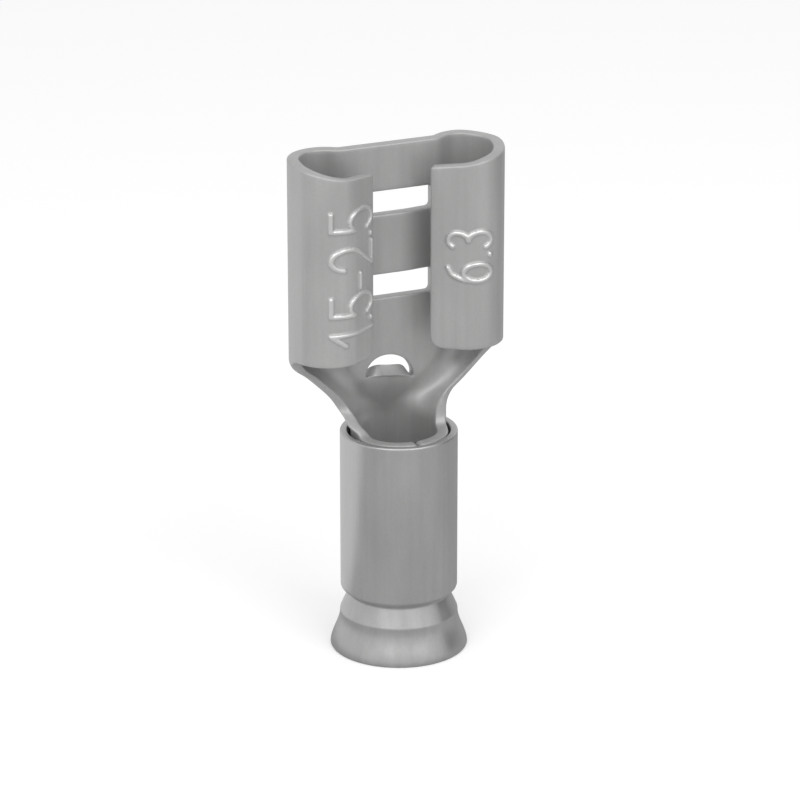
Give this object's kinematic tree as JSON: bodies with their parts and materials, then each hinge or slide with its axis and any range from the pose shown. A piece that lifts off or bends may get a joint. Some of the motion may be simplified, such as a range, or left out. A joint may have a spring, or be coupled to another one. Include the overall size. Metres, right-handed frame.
{
  "type": "female spade terminal",
  "caption": "Non-insulated female spade terminal: folded sheet socket for a flat tab, necked to a wire barrel with a belled sleeve.",
  "frame": {"origin": "centre of the sleeve's bell rim, on the plane that it stands on", "axes": "+Z along the barrel's axis, up towards the tab's mouth; +Y towards the back, the floor side of the socket; +X across the socket's width"},
  "size_m": [0.0078, 0.0048, 0.0179],
  "materials": {
    "terminal_tin": "matte tin plate over brass sheet, fine rolling lines, bright sheared edges",
    "sleeve_tin": "satin tin plate over drawn brass, fine lines along the tube"
  },
  "bodies": {
    "root": {"terminal_body": "terminal_tin", "barrel_sleeve": "sleeve_tin"}
  },
  "joints": []
}
